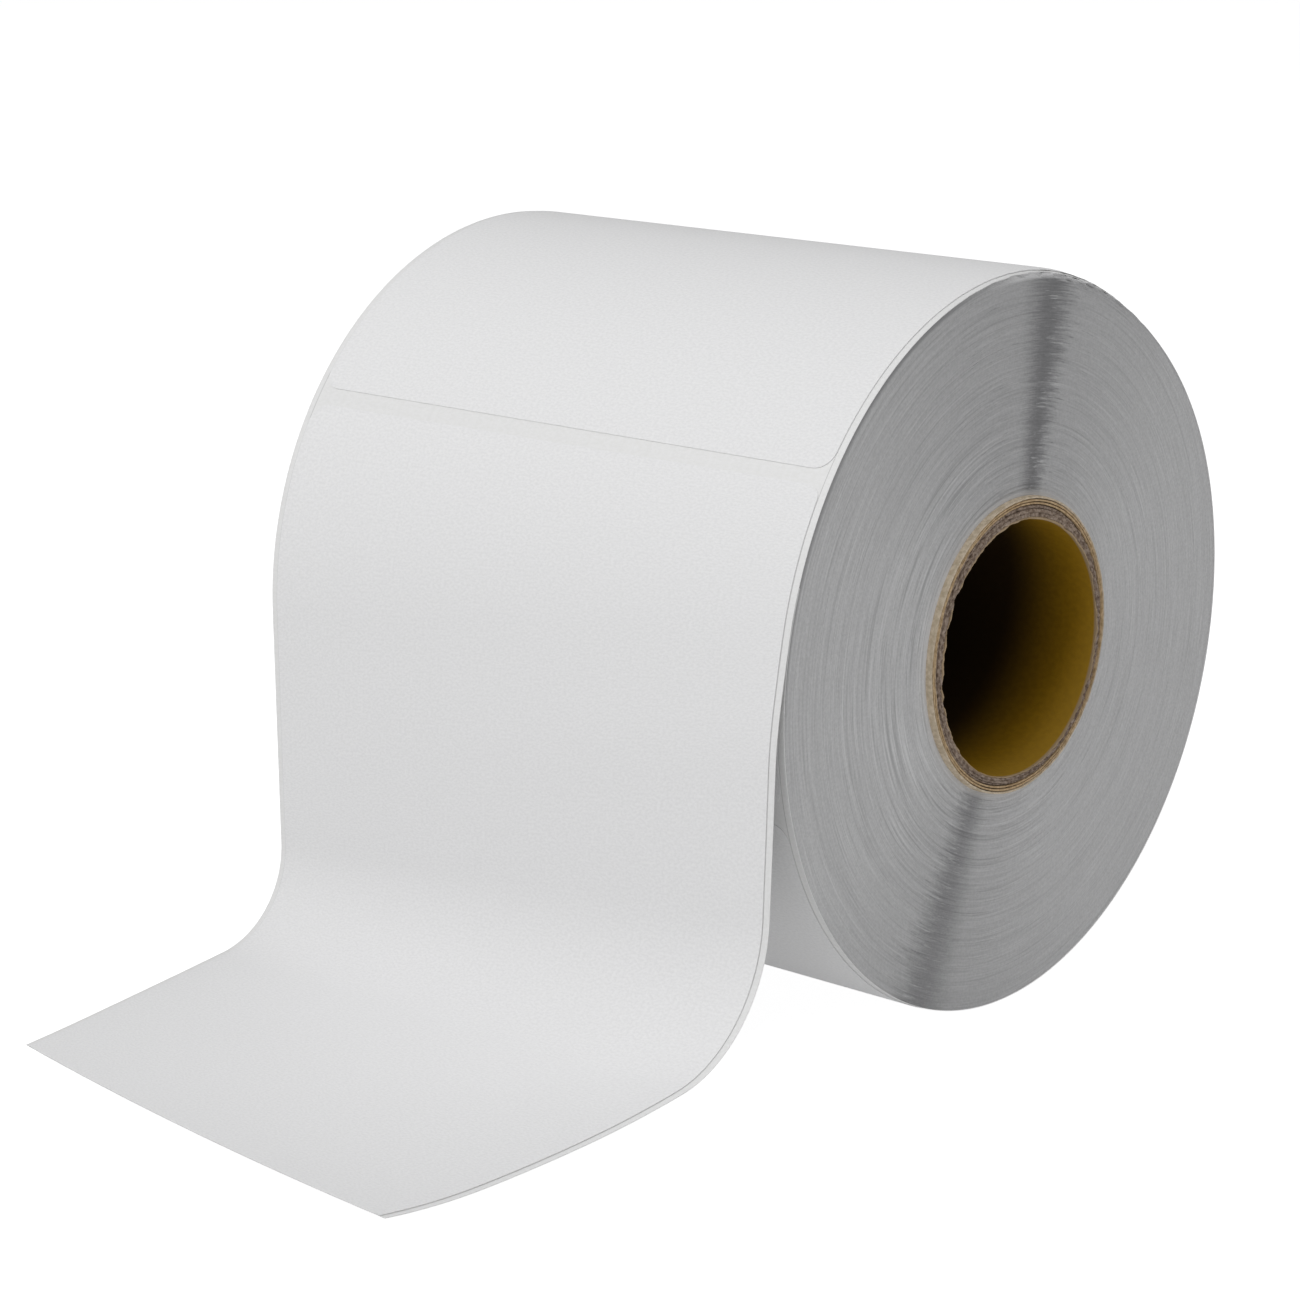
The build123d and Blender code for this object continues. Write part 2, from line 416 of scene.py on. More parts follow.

# %% [markdown]
# The colour is built up in layers: paper, lines, painted shade on the sunk turns, the two sectors of
# painted shade, and last the lighter and darker parts of the rim, with a painted highlight on the
# bruise. Each layer is a mask between 0 and 1 that mixes a new colour over the last.


# %% Wound edge finish
def wound_finish():
    """Cut edges of the turns, with lines that follow the winding."""
    finish, tree, shader = new_finish("wound_edge", 0.62, 0.25)
    place = wire(tree, "ShaderNodeTexCoord").outputs["Object"]
    polar = use_group(tree, polar_place, Place=place)
    lines = arcs(tree, polar, 0.12, 0.42 * MM, 3.0)
    streaks = arcs(tree, polar, 0.016, 0.32 * MM, 3.0)
    hairlines = arcs(tree, polar, 0.05, 0.2 * MM, 2.0)
    grain = use_group(tree, paper_grain, Place=place, Size=0.45 * MM)["Mottle"]
    paper = mix_colour(tree, ramp(tree, grain, 0.3, 0.7), (0.495, 0.495, 0.50), (0.575, 0.575, 0.58))

    # Lines are bolder near the core and in front
    front = wire(tree, "ShaderNodeSeparateXYZ", {0: polar["Around"]}).outputs["X"]
    bold = calc(tree, "MULTIPLY", ramp(tree, polar["Radius"], 24 * MM, 52 * MM, 1.0, 0.35),
                ramp(tree, front, -0.6, 0.5, 1.0, 0.3))
    dark_line = calc(tree, "MULTIPLY", ramp(tree, lines, 0.36, 0.46, 0.75, 0.0), bold)
    light_line = calc(tree, "MULTIPLY", ramp(tree, lines, 0.55, 0.66, 0.0, 0.6), bold)
    paper = mix_colour(tree, dark_line, paper, (0.34, 0.34, 0.345))
    paper = mix_colour(tree, light_line, paper, (0.74, 0.74, 0.745))
    paper = mix_colour(tree, ramp(tree, hairlines, 0.3, 0.48, 0.3, 0.0), paper, (0.30, 0.30, 0.305))
    paper = mix_colour(tree, ramp(tree, hairlines, 0.54, 0.7, 0.0, 0.25), paper, (0.80, 0.80, 0.805))
    # Painted shade on the sunk turns, read from their stored relief
    lift = wire(tree, "ShaderNodeAttribute", attribute_name="lift").outputs["Fac"]
    paper = mix_colour(tree, ramp(tree, lift, -0.9, 0.0, 0.35, 0.0), paper, (0.36, 0.36, 0.365))

    # Two sectors of painted shade with ragged sides, where the turns' edges tilt away from the light
    wander = calc(tree, "MULTIPLY_ADD", streaks, 14 / 360, -7 / 360)
    painted_shade = 0.0
    for centre, width, dark, skirt, skirt_width, skirt_dark in SHADE_SECTORS:
        ragged = calc(tree, "ADD", away(tree, polar["Turn"], centre), wander)
        sector = ramp(tree, calc(tree, "ABSOLUTE", ragged), 0.0, width, dark, 0.0)
        soft = calc(tree, "ABSOLUTE", away(tree, polar["Turn"], skirt))
        soft = ramp(tree, soft, 0.0, skirt_width, skirt_dark, 0.0)
        painted_shade = calc(tree, "MAXIMUM", calc(tree, "ADD", sector, soft), painted_shade)
    paper = mix_colour(tree, painted_shade, paper, (0.06, 0.06, 0.065))
    near = ramp(tree, painted_shade, 0.08, 0.3)
    crease = calc(tree, "MULTIPLY", ramp(tree, streaks, 0.56, 0.72, 0.0, 0.5), near)
    paper = mix_colour(tree, crease, paper, (0.56, 0.56, 0.565))
    crease = calc(tree, "MULTIPLY", ramp(tree, streaks, 0.28, 0.42, 0.5, 0.0), near)
    paper = mix_colour(tree, crease, paper, (0.16, 0.16, 0.165))

    # The turn next to the core is lighter, the bruised rim has a painted highlight where its chamfer
    # faces the light from above, and the rim's front is darker
    from_bruise = calc(tree, "ABSOLUTE", calc(tree, "SUBTRACT", polar["Turn"], 12 / 360))
    painted_bruise_highlight = calc(tree, "MULTIPLY", ramp(tree, polar["Radius"], 55.9 * MM, 56.4 * MM, 0.0, 0.7),
                  ramp(tree, from_bruise, 10 / 360, 22 / 360, 1.0, 0.0))
    light = calc(tree, "MAXIMUM", ramp(tree, polar["Radius"], 23.4 * MM, 24.3 * MM, 0.5, 0.0), painted_bruise_highlight)
    paper = mix_colour(tree, light, paper, (0.76, 0.76, 0.765))
    rim = ramp(tree, polar["Radius"], 56.2 * MM, 56.9 * MM)
    from_front = calc(tree, "ABSOLUTE", away(tree, polar["Turn"], -52 / 360))
    rim = calc(tree, "MULTIPLY", rim, ramp(tree, from_front, 30 / 360, 45 / 360, 0.6, 0.0))
    paper = mix_colour(tree, rim, paper, (0.18, 0.18, 0.185))
    tree.links.new(paper, shader.inputs["Base Color"])
    relief = calc(tree, "ADD", lines, calc(tree, "MULTIPLY", streaks, ramp(tree, painted_shade, 0.1, 0.4)))
    bump(tree, shader, relief, 0.4, 0.08 * MM)
    return finish


wound_edge = wound_finish()
print(wound_edge.name, len(wound_edge.node_tree.nodes), "nodes")

# %% [markdown]
# ## Core board
# The core is wound from strips of paperboard: a smooth brown ply inside, grey recycled board in the
# middle and tan kraft paper outside. The saw leaves the grey board furry, with light and dark fibres
# in its cut end.

# %% Board finishes
GROOVE_SHADE_AND_DUST = (0.07, 0.045, 0.03)


def board_finish(name, light, dark, grain_size, relief, groove=None, groove_share=0.85):
    """Paperboard with clumps of fibre, with painted shade and dust in its end's grooves, between two
    distances along.
    """
    finish, tree, shader = new_finish(name, 0.85, 0.2)
    place = wire(tree, "ShaderNodeTexCoord").outputs["Object"]
    grain = use_group(tree, paper_grain, Place=place, Size=grain_size)
    share = ramp(tree, grain["Mottle"], 0.32, 0.68)
    colour = mix_colour(tree, share, dark, light)
    if groove:
        # Painted shade and dust deep in the end's grooves, by distance along the axis
        along = calc(tree, "ABSOLUTE", wire(tree, "ShaderNodeSeparateXYZ", {0: place}).outputs["X"])
        painted_shade = ramp(tree, along, groove[0] * MM, groove[1] * MM, groove_share, 0.0)
        colour = mix_colour(tree, painted_shade, colour, GROOVE_SHADE_AND_DUST)
    tree.links.new(colour, shader.inputs["Base Color"])
    bump(tree, shader, grain["Relief"], 0.6, relief)
    return finish


grey_board = board_finish("grey_board", (0.43, 0.34, 0.275), (0.19, 0.135, 0.10), 0.75 * MM, 0.3 * MM,
                          (51.5, 52.3), 0.7)
tan_kraft = board_finish("tan_kraft", (0.62, 0.46, 0.28), (0.42, 0.29, 0.16), 0.8 * MM, 0.1 * MM,
                         (52.1, 52.6))
pale_kraft = board_finish("pale_kraft", (0.68, 0.58, 0.45), (0.50, 0.41, 0.29), 0.8 * MM, 0.1 * MM)
kraft_tape = board_finish("kraft_tape", (0.62, 0.50, 0.32), (0.52, 0.40, 0.24), 1.5 * MM, 0.03 * MM)
print("boards:", grey_board.name, tan_kraft.name, pale_kraft.name, kraft_tape.name)

# %% [markdown]
# The brown ply's strip meets itself along a spiral seam inside the bore. Its colour has painted
# shade that gets darker with depth, and more so along the top where the light from above misses it,
# because hardly any light reaches the middle of a long narrow tube; near both mouths it has a
# painted highlight.

# %% Bore finish
SEAM_PITCH = 62 * MM
SEAM_WIDTH = 0.012


def bore_finish():
    """Brown inner ply with its spiral seam."""
    finish, tree, shader = new_finish("bore_ply", 0.75, 0.12)
    place = wire(tree, "ShaderNodeTexCoord").outputs["Object"]
    polar = use_group(tree, polar_place, Place=place)
    grain = use_group(tree, paper_grain, Place=place, Size=0.9 * MM, Stretch=0.9)
    along = wire(tree, "ShaderNodeSeparateXYZ", {0: place}).outputs["X"]
    upward = wire(tree, "ShaderNodeSeparateXYZ", {0: polar["Around"]}).outputs["Y"]
    turns = calc(tree, "ADD", polar["Turn"], calc(tree, "DIVIDE", along, SEAM_PITCH))
    seam = calc(tree, "ABSOLUTE", calc(tree, "SUBTRACT", calc(tree, "FRACT", turns), 0.5))
    edge = ramp(tree, seam, 0.0, SEAM_WIDTH, 1.0, 0.0)
    share = ramp(tree, grain["Mottle"], 0.3, 0.7)
    ply = mix_colour(tree, share, (0.35, 0.19, 0.006), (0.41, 0.225, 0.008))
    # Painted shade, deeper away from the mouths and along the top, and a painted highlight near the
    # mouths
    depth = calc(tree, "MULTIPLY_ADD", upward, -3.5 * MM, calc(tree, "ABSOLUTE", along))
    painted_mouth_light = ramp(tree, depth, 46 * MM, 55 * MM, 0.0, 0.4)
    ply = mix_colour(tree, painted_mouth_light, ply, (0.48, 0.29, 0.045))
    painted_deep_shade = ramp(tree, depth, 35 * MM, 52.5 * MM, 0.97, 0.0)
    ply = mix_colour(tree, painted_deep_shade, ply, (0.012, 0.006, 0.002))
    ply = mix_colour(tree, calc(tree, "MULTIPLY", edge, 0.7), ply, (0.08, 0.05, 0.01))
    frayed = ramp(tree, calc(tree, "ABSOLUTE", along), 51.9 * MM, 52.4 * MM, 0.0, 0.8)
    ply = mix_colour(tree, frayed, ply, (0.42, 0.33, 0.24))
    tree.links.new(ply, shader.inputs["Base Color"])
    relief = calc(tree, "SUBTRACT", grain["Relief"], calc(tree, "MULTIPLY", edge, 3.0))
    bump(tree, shader, relief, 0.3, 0.03 * MM)
    return finish


bore_ply = bore_finish()
print("finishes:", [m.name for m in bpy.data.materials])

# %% [markdown]
# ## Rings with ridged ends
# The wound turns and the core's plies are all the same kind of shape: a ring about the axis whose two
# ends are made of concentric ridges. Each ridge gets its own small random step, a slower drift round
# the roll and, on board, torn fibres. The total is stored as "lift" for the finish to read.

# %% How far a ridge stands out
RING_INPUTS = [
    ("Inner radius", "Float", 0.02), ("Outer radius", "Float", 0.03), ("Half width", "Float", 0.05),
    ("Ridges", "Int", 8), ("Segments", "Int", 240), ("Step", "Float", 0.0001),
    ("Drift", "Float", 0.0001), ("Drift size", "Float", 0.01), ("Tear", "Float", 0.0),
    ("Tear size", "Float", 0.001), ("Round", "Float", 0.0), ("Seed", "Int", 1),
    ("Finish", "Material", None),
]


def ridge_lift(tree, inp, ridge, side, y, z):
    """The ridge's own step, a slow drift round the roll, and torn fibres, added up."""
    key = wire(tree, "ShaderNodeCombineXYZ", {"X": ridge, "Y": side, "Z": inp["Seed"]}).outputs[0]
    step = wire(tree, "ShaderNodeTexWhiteNoise", {"Vector": key}, noise_dimensions="3D")
    step = calc(tree, "MULTIPLY", calc(tree, "SUBTRACT", step.outputs["Value"], 0.5), inp["Step"])
    ridge_place = calc(tree, "MULTIPLY_ADD", ridge, 0.35, calc(tree, "MULTIPLY", side, 40.0))
    drift_place = wire(tree, "ShaderNodeCombineXYZ",
                       {"X": calc(tree, "DIVIDE", y, inp["Drift size"]),
                        "Y": calc(tree, "DIVIDE", z, inp["Drift size"]), "Z": ridge_place}).outputs[0]
    drift = wire(tree, "ShaderNodeTexNoise", {"Vector": drift_place, "W": inp["Seed"], "Scale": 1.0,
                                              "Detail": 1.0}, noise_dimensions="4D").outputs["Fac"]
    drift = calc(tree, "MULTIPLY", calc(tree, "SUBTRACT", drift, 0.5), inp["Drift"])
    tear_place = wire(tree, "ShaderNodeCombineXYZ",
                      {"X": calc(tree, "DIVIDE", y, inp["Tear size"]),
                       "Y": calc(tree, "DIVIDE", z, inp["Tear size"]), "Z": side}).outputs[0]
    tear = wire(tree, "ShaderNodeTexNoise", {"Vector": tear_place, "W": inp["Seed"], "Scale": 1.0,
                                             "Detail": 4.0}, noise_dimensions="4D").outputs["Fac"]
    tear = calc(tree, "MULTIPLY", calc(tree, "SUBTRACT", tear, 0.5), inp["Tear"])
    return calc(tree, "ADD", calc(tree, "ADD", step, drift), tear)


print(len(RING_INPUTS), "inputs of the ring tree")

# %% [markdown]
# One Geometry Nodes tree makes all the rings. It bends a flat grid into the ring. Across the grid,
# the points climb the right end from the bore outwards and come back down the left end; along it,
# they go once round.


# %% Geometry Nodes tree for a ridged ring
def ring_tree():
    """Ring about the X axis with concentric ridges on both ends."""
    tree, inp, out = new_group("ridged_ring", RING_INPUTS, [("Ring", "Geometry")], "GeometryNodeTree")

    # A grid with one column for each ridge on both ends, and one row for each segment
    ridges = inp["Ridges"]
    columns = calc(tree, "MULTIPLY_ADD", ridges, 2.0, 2.0)
    grid = wire(tree, "GeometryNodeMeshGrid",
                {"Size X": 1.0, "Size Y": 1.0, "Vertices X": calc(tree, "ADD", columns, 1.0),
                 "Vertices Y": calc(tree, "ADD", inp["Segments"], 1.0)})
    flat = wire(tree, "ShaderNodeSeparateXYZ",
                {0: wire(tree, "GeometryNodeInputPosition").outputs[0]}).outputs
    column = calc(tree, "ROUND", calc(tree, "MULTIPLY", calc(tree, "ADD", flat["X"], 0.5), columns))
    column = calc(tree, "MODULO", column, columns)
    angle = calc(tree, "MULTIPLY", calc(tree, "ADD", flat["Y"], 0.5), 2 * math.pi)

    # Which end of the ring a point is on, and which ridge
    left = calc(tree, "GREATER_THAN", column, calc(tree, "ADD", ridges, 0.5))
    side = calc(tree, "MULTIPLY_ADD", left, -2.0, 1.0)
    back = calc(tree, "SUBTRACT", calc(tree, "SUBTRACT", columns, 1.0), column)
    ridge = calc(tree, "ADD", calc(tree, "MULTIPLY", left, back),
                 calc(tree, "MULTIPLY", calc(tree, "SUBTRACT", 1.0, left), column))
    share = calc(tree, "DIVIDE", ridge, ridges)
    width = calc(tree, "SUBTRACT", inp["Outer radius"], inp["Inner radius"])
    radius = calc(tree, "MULTIPLY_ADD", share, width, inp["Inner radius"])
    y = calc(tree, "MULTIPLY", radius, calc(tree, "COSINE", angle))
    z = calc(tree, "MULTIPLY", radius, calc(tree, "SINE", angle))

    lift = ridge_lift(tree, inp, ridge, side, y, z)

    # The first and last ridges are rounded off, so that rings that touch show a line between them
    middle = calc(tree, "ABSOLUTE", calc(tree, "MULTIPLY_ADD", share, 2.0, -1.0))
    rim = calc(tree, "MULTIPLY", calc(tree, "GREATER_THAN", middle, 0.999), inp["Round"])
    end = calc(tree, "SUBTRACT", calc(tree, "ADD", inp["Half width"], lift), rim)
    place = wire(tree, "ShaderNodeCombineXYZ",
                 {"X": calc(tree, "MULTIPLY", side, end), "Y": y, "Z": z}).outputs[0]
    stored = wire(tree, "GeometryNodeStoreNamedAttribute",
                  {"Geometry": grid.outputs["Mesh"], "Name": "lift",
                   "Value": calc(tree, "DIVIDE", lift, 0.1 * MM)},
                  data_type="FLOAT", domain="POINT").outputs[0]
    bent = wire(tree, "GeometryNodeSetPosition", {"Geometry": stored, "Position": place}).outputs[0]
    closed = wire(tree, "GeometryNodeMergeByDistance",
                  {"Geometry": bent, "Distance": 0.001 * MM}).outputs[0]
    real = wire(tree, "GeometryNodeRealizeInstances", {"Geometry": closed}).outputs[0]
    done = wire(tree, "GeometryNodeSetMaterial",
                {"Geometry": real, "Material": inp["Finish"]}).outputs[0]
    tree.links.new(done, out["Ring"])
    return tree


ridged_ring = ring_tree()
ring_sockets = {item.name: item.identifier for item in ridged_ring.interface.items_tree}
print("ring sockets:", list(ring_sockets))


# %% [markdown]
# ## From the tree to a mesh
# The tree makes its mesh as the result of a modifier on an empty object. The inputs are set by each
# socket's identifier before the object is first evaluated, and the result is kept as a plain mesh,
# because a plain mesh can be moved point by point afterwards and is what other programs read.

# %% Making a ring
def finish_normals(mesh):
    """Turn all faces outwards."""
    work = bmesh.new()
    work.from_mesh(mesh)
    bmesh.ops.recalc_face_normals(work, faces=work.faces)
    work.to_mesh(mesh)
    work.free()


def make_ring(name, **values):
    """Evaluate the ring tree with these inputs, and keep the result as a plain mesh."""
    maker = add_object(name + "_maker", bpy.data.meshes.new(name + "_maker"))
    modifier = maker.modifiers.new("ring", "NODES")
    modifier.node_group = ridged_ring
    for key, value in values.items():
        modifier[ring_sockets[key.replace("_", " ").capitalize()]] = value
    graph = bpy.context.evaluated_depsgraph_get()
    mesh = bpy.data.meshes.new_from_object(maker.evaluated_get(graph), depsgraph=graph)
    bpy.data.objects.remove(maker)
    mesh.name = name
    finish_normals(mesh)
    print(name, len(mesh.polygons), "faces")
    return add_object(name, mesh)


# %% [markdown]
# ## Places on the web
# The web is easiest to describe flat: how far along it a point is, how far across, and how high in
# its thickness. One function turns that into a place in the room. Along the web, a distance of 0 is
# the line where it leaves the roll. Positive distances go up and over the roll and on round. The
# free end goes the other way and is counted in stations: -1 and -2 are the ends of its bend and -3 is
# the cut end. Its two edges bend differently, because the paper lies askew, and each line across
# the web is straight.

# %% The free end's path
LEAVE_ANGLE = (0.0, 12.5)
FREE_RUNS = [  # station at the run's end, then its length and last heading on the left and right edge
    (0.35, (13.5, 10.0), (0.0, 11.0)), (0.6, (12.0, 9.0), (0.0, 3.0)), (1.0, (13.5, 22.0), (0.0, 3.5)),
    (2.0, (22.3, 30.6), (84.5, 85.0)), (2.33, (14.0, 20.0), (85.0, 90.0)),
    (2.67, (14.0, 20.0), (85.2, 93.0)), (3.0, (13.0, 19.0), (86.8, 101.0)),
]
PEEL_STATION = -2.24
CUT_STATION = -3.0
JOINED_ABOVE = 36.0 * MM  # where the web lies on the turn below over its whole width


def between(pair, across):
    """Value at a place across the web, from its values on the left and right edges."""
    return pair[0] + (pair[1] - pair[0]) * (across / (2 * liner_half) + 0.5)


def free_point(station, across, height):
    """Place on the free end. A heading of 0 is straight down and 90 is forwards."""
    heading = math.radians(between(LEAVE_ANGLE, across))
    radius = roll_radius - web_thick
    y, z = -radius * math.cos(heading), radius * math.sin(heading)
    begun = 0.0
    for ended, lengths, headings in FREE_RUNS:
        share = min(1.0, (station - begun) / (ended - begun))
        turn = share * (math.radians(between(headings, across)) - heading)
        length = share * between(lengths, across) * MM
        chord = length * (math.sin(turn / 2) / (turn / 2) if abs(turn) > 1e-6 else 1.0)
        y -= chord * math.sin(heading + turn / 2)
        z -= chord * math.cos(heading + turn / 2)
        heading += turn
        if station <= ended:
            break
        begun = ended
    return Vector((across, y - height * math.cos(heading), z + height * math.sin(heading)))


print("cut end:", [round(x / MM, 1) for x in free_point(-CUT_STATION, liner_half, 0)])


# %% [markdown]
# ## Places on the roll
# On the roll, the web is a spiral made of half circles, each half a web's thickness smaller than the
# last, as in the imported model. `front_point` joins the two kinds of place smoothly.


# %% The wound web's path
def wound_point(distance, across, height):
    """Place on the wound web, whose every half turn is half a web's thickness smaller."""
    half = 0
    while distance > math.pi * (roll_radius - half * web_thick / 2):
        distance -= math.pi * (roll_radius - half * web_thick / 2)
        half += 1
    radius = roll_radius - half * web_thick / 2
    angle = distance / radius + half * math.pi
    centre = (half % 2) * web_thick / 2
    radius += height - web_thick
    return Vector((across, centre - radius * math.cos(angle), radius * math.sin(angle)))


def web_point(along, across, height):
    """Place on the web: along is a distance on the roll, or a negative station on the free end."""
    if along >= 0:
        return wound_point(along, across, height)
    return free_point(-along, across, height)


def front_point(along, across, height):
    """Place on the front label or its liner, whose wound part starts where the free end leaves."""
    if along < 0:
        return free_point(-along, across, height)
    leave = math.radians(between(LEAVE_ANGLE, across)) * roll_radius
    return wound_point(leave + along * (JOINED_ABOVE - leave) / JOINED_ABOVE, across, height)


print("straight up:", [round(x / MM, 2) for x in wound_point(math.pi / 2 * roll_radius, 0, 0)])

# %% [markdown]
# ## Sheets
# Every label and every stretch of liner is a closed thin sheet: a grid of points for its face, the
# same grid for its back, and narrow walls round the edge. A die-cut label's corners are round, which
# the grid follows by growing wider row by row over the corner's radius. The sheet's edges are marked
# sharp, so that the shading of the face doesn't run over onto the walls.

# %% Rows of a sheet
CORNER = 3.0 * MM
CORNER_ROWS = 6
ACROSS_POINTS = 41


def spaced(start, end, step):
    """Values from start to end, evenly spaced by about step."""
    count = max(1, round(abs(end - start) / step))
    return [start + (end - start) * i / count for i in range(count + 1)]


def corner_rows(start, direction):
    """Rows over a round corner, each with how much narrower the sheet is there on each side."""
    rows = []
    for i in range(CORNER_ROWS + 1):
        swing = math.radians(90 * i / CORNER_ROWS)
        rows.append((start + direction * CORNER * (1 - math.cos(swing)), CORNER * (1 - math.sin(swing))))
    return rows


print("a corner's rows:", [round(row[1] / MM, 2) for row in corner_rows(0.0, 1)], "mm narrower")


# %% Building a sheet
def build_sheet(name, rows, half_width, low, high, finish, back_finish=None, shape=web_point):
    """Closed sheet from rows of (along, how much narrower), between two heights of the web."""
    mesh = bpy.data.meshes.new(name)
    work = bmesh.new()
    uv = work.loops.layers.uv.new("sheet")
    flat = {}
    layers = []
    for height in (low, high):
        grid = []
        distance = 0.0
        for number, (along, narrower) in enumerate(rows):
            if number:
                distance += (shape(along, 0, low) - shape(rows[number - 1][0], 0, low)).length
            line = []
            for i in range(ACROSS_POINTS):
                across = (half_width - narrower) * (2 * i / (ACROSS_POINTS - 1) - 1)
                vertex = work.verts.new(shape(along, across, height))
                flat[vertex] = (across, distance)
                line.append(vertex)
            grid.append(line)
        layers.append(grid)
    for layer, grid in enumerate(layers):
        for near, far in zip(grid, grid[1:]):
            for i in range(ACROSS_POINTS - 1):
                face = work.faces.new((near[i], near[i + 1], far[i + 1], far[i]))
                face.material_index = 1 if layer == 0 and back_finish else 0
    back, front = layers
    rims = [(back[0], front[0]), (back[-1], front[-1]),
            ([row[0] for row in back], [row[0] for row in front]),
            ([row[-1] for row in back], [row[-1] for row in front])]
    walls = []
    for low_rim, high_rim in rims:
        for i in range(len(low_rim) - 1):
            corners = (low_rim[i], low_rim[i + 1], high_rim[i + 1], high_rim[i])
            walls.append(work.faces.new(corners))
    bmesh.ops.recalc_face_normals(work, faces=work.faces)
    wall_set = set(walls)
    for edge in work.edges:
        edge.smooth = len({face in wall_set for face in edge.link_faces}) == 1
    for face in work.faces:
        face.smooth = True
        for loop in face.loops:
            loop[uv].uv = flat[loop.vert]
    work.to_mesh(mesh)
    work.free()
    mesh.materials.append(finish)
    if back_finish:
        mesh.materials.append(back_finish)
    print(name, len(mesh.polygons), "faces")
    return add_object(name, mesh)


# %% [markdown]
# ## A roll is never quite round
# Paper rolls are pressed a little out of round by their own weight and by handling, and their rims
# get bruised. `settle` moves the points of every piece of the roll by the same small rule, so that
# the turns, the liner and the labels stay on each other.

# %% Out of round
BRUISE_TURN = math.radians(34)
BRUISE_SPREAD = math.radians(24)
BRUISE_DROP = 1.3 * MM
BRUISE_REACH = 5.0 * MM
BRUISE_DEPTH = 6.0 * MM
CRUSH_TURN = math.radians(12)
CRUSH_SPREAD = math.radians(17)
CRUSH_PUSH = 0.9 * MM
CRUSH_REACH = 1.7 * MM
HIDDEN_RUN = 20 * MM


def surface_radius(angle):
    """Radius of the face under the outer turn, in a direction from straight up, back positive."""
    hidden = HIDDEN_RUN / roll_radius
    distance = ((angle + math.pi / 2 - hidden) % (2 * math.pi) + hidden) * roll_radius
    place = wound_point(distance, 0, 0)
    return math.hypot(place.y, place.z)


def settle(piece, wound=False):
    """Bruise the top of the right rim, and let the turns follow the spiral under the outer one."""
    for vertex in piece.data.vertices:
        x, y, z = vertex.co
        radius = math.hypot(y, z)
        angle = math.atan2(y, z)
        inside = roll_radius - radius
        radius_now = radius
        if wound:
            squeeze = 1 - surface_radius(angle) / (roll_radius - web_thick)
            radius_now *= 1 - squeeze * (radius / roll_radius) ** 8
        edge = max(0.0, 1 - (liner_half - x) / BRUISE_REACH)
        off = (angle - BRUISE_TURN) / BRUISE_SPREAD
        depth = max(0.0, 1 - inside / BRUISE_DEPTH)
        radius_now -= BRUISE_DROP * math.exp(-off * off) * edge * edge * depth
        off = (angle - CRUSH_TURN) / CRUSH_SPREAD
        crinkle = 0.7 + 1.3 * noise.noise(Vector((angle * 48, inside / (0.4 * MM), 0)))
        depth = max(0.0, 1 - inside / CRUSH_REACH)
        push = CRUSH_PUSH * math.exp(-off * off) * depth * max(0.0, edge - 0.5) * 2 * crinkle
        vertex.co = (x - push, y * radius_now / radius, z * radius_now / radius)


print(f"under the outer turn at the back: {surface_radius(math.pi / 2) / MM:.2f} mm from the axis")


# %% [markdown]
# ## The wound turns
# The turns under the outer one are five nested rings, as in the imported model. Each has one ridge for
# every turn of paper, so the ends are ridged as a real roll's are. Their ends lie a little further in
# than the outer turn's edge, because the outer turn is wound a touch proud.

# %% Wound turns
WOUND_SET_BACK = 0.15 * MM
band_nodes = [f"wound_turns_{number}" for number in range(1, 6)]
for number, node in enumerate(band_nodes, start=1):
    low, high = inner_reach(node), reach(node)
    if number == 1:
        low = reach("core_outer_ply_3")
    ring = make_ring(
        node.replace("turns", "paper"), inner_radius=low + 0.005 * MM, outer_radius=high - 0.005 * MM,
        half_width=liner_half - WOUND_SET_BACK, ridges=round((high - low) / web_thick), segments=300,
        step=0.06 * MM, drift=0.16 * MM, drift_size=22 * MM, tear=0.03 * MM, tear_size=2.5 * MM,
        seed=number, finish=wound_edge)
    settle(ring, wound=True)
    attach(ring, "roll")
    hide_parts(node)

# %% [markdown]
# ## The core's plies
# The core is made from the same ring tree. Its ridges are torn by noise of about a millimetre, which
# is the fur that a saw leaves on recycled board, and the tan wrap stays firm and clean. Each ply is
# set back a little and rounded at its rim, so that dark lines show between the plies. The right end
# was pressed: its board has sunk and its plies have closed up at the rear.

# %% Core plies
PLIES = [  # node, finish, set-back, tear's depth and size, rounded rim, slot
    ("core_inner_ply", bore_ply, 0.45, 1.8, 2.6, 0.1, "core_liner"),
    ("core_board_ply_1", grey_board, 0.35, 1.5, 1.1, 0.15, "core_board"),
    ("core_board_ply_2", grey_board, 0.3, 1.3, 0.8, 0.15, "core_board"),
    ("core_board_ply_3", grey_board, 0.45, 1.2, 0.9, 0.35, "core_board"),
    ("core_outer_ply_1", tan_kraft, 0.3, 0.5, 2.0, 0.9, "core_wrap"),
    ("core_outer_ply_2", tan_kraft, 0.2, 0.4, 2.0, 0.9, "core_wrap"),
    ("core_outer_ply_3", pale_kraft, 0.15, 0.3, 2.0, 0.6, "core_wrap"),
]
SLUMP = Vector((0, 0.2, -0.5)) * MM
SLUMP_RADIUS = 21.8 * MM
BORE_RADIUS = 20 * MM
CORE_RADIUS = reach("core_outer_ply_3")
PRESS_TURN = math.radians(105)
PRESS_SHARE = 0.42


def slump(ring):
    """Press the core's right end: its board sinks a little, and the plies close up at the rear."""
    for vertex in ring.data.vertices:
        x, y, z = vertex.co
        if x < 0:
            continue
        radius = math.hypot(y, z)
        facing = max(0.0, math.cos(math.atan2(y, z) - PRESS_TURN))
        pressed = CORE_RADIUS - (CORE_RADIUS - radius) * (1 - PRESS_SHARE * facing ** 1.5)
        vertex.co = (x, y * pressed / radius, z * pressed / radius)
        if radius < SLUMP_RADIUS:
            vertex.co += SLUMP * (SLUMP_RADIUS - radius) / (SLUMP_RADIUS - BORE_RADIUS)


